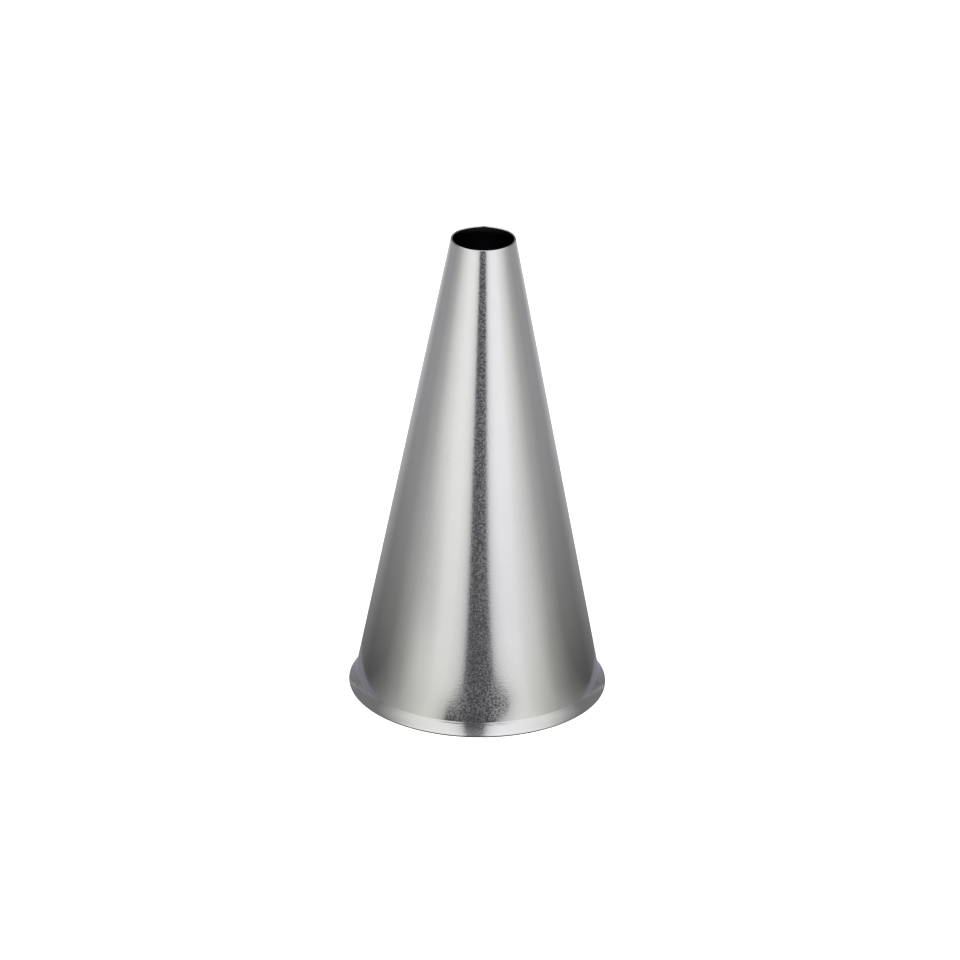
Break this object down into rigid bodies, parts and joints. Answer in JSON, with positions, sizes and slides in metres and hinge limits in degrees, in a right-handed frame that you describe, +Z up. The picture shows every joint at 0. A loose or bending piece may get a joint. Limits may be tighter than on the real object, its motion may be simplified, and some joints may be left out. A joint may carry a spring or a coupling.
{
  "type": "piping nozzle",
  "caption": "Plain round piping nozzle: a hollow sheet steel cone with a small round outlet at its tip and a flared rim at its wide end.",
  "frame": {"origin": "centre of the base plane, on the nozzle's axis", "axes": "+Z up the axis from the wide end to the outlet; the nozzle is round, so +X and +Y are any two square directions"},
  "size_m": [0.03, 0.03, 0.056],
  "materials": {
    "satin_steel": "satin stainless steel with a fine grain and faint turning lines on the rim"
  },
  "bodies": {
    "root": {"nozzle": "satin_steel"}
  },
  "joints": []
}
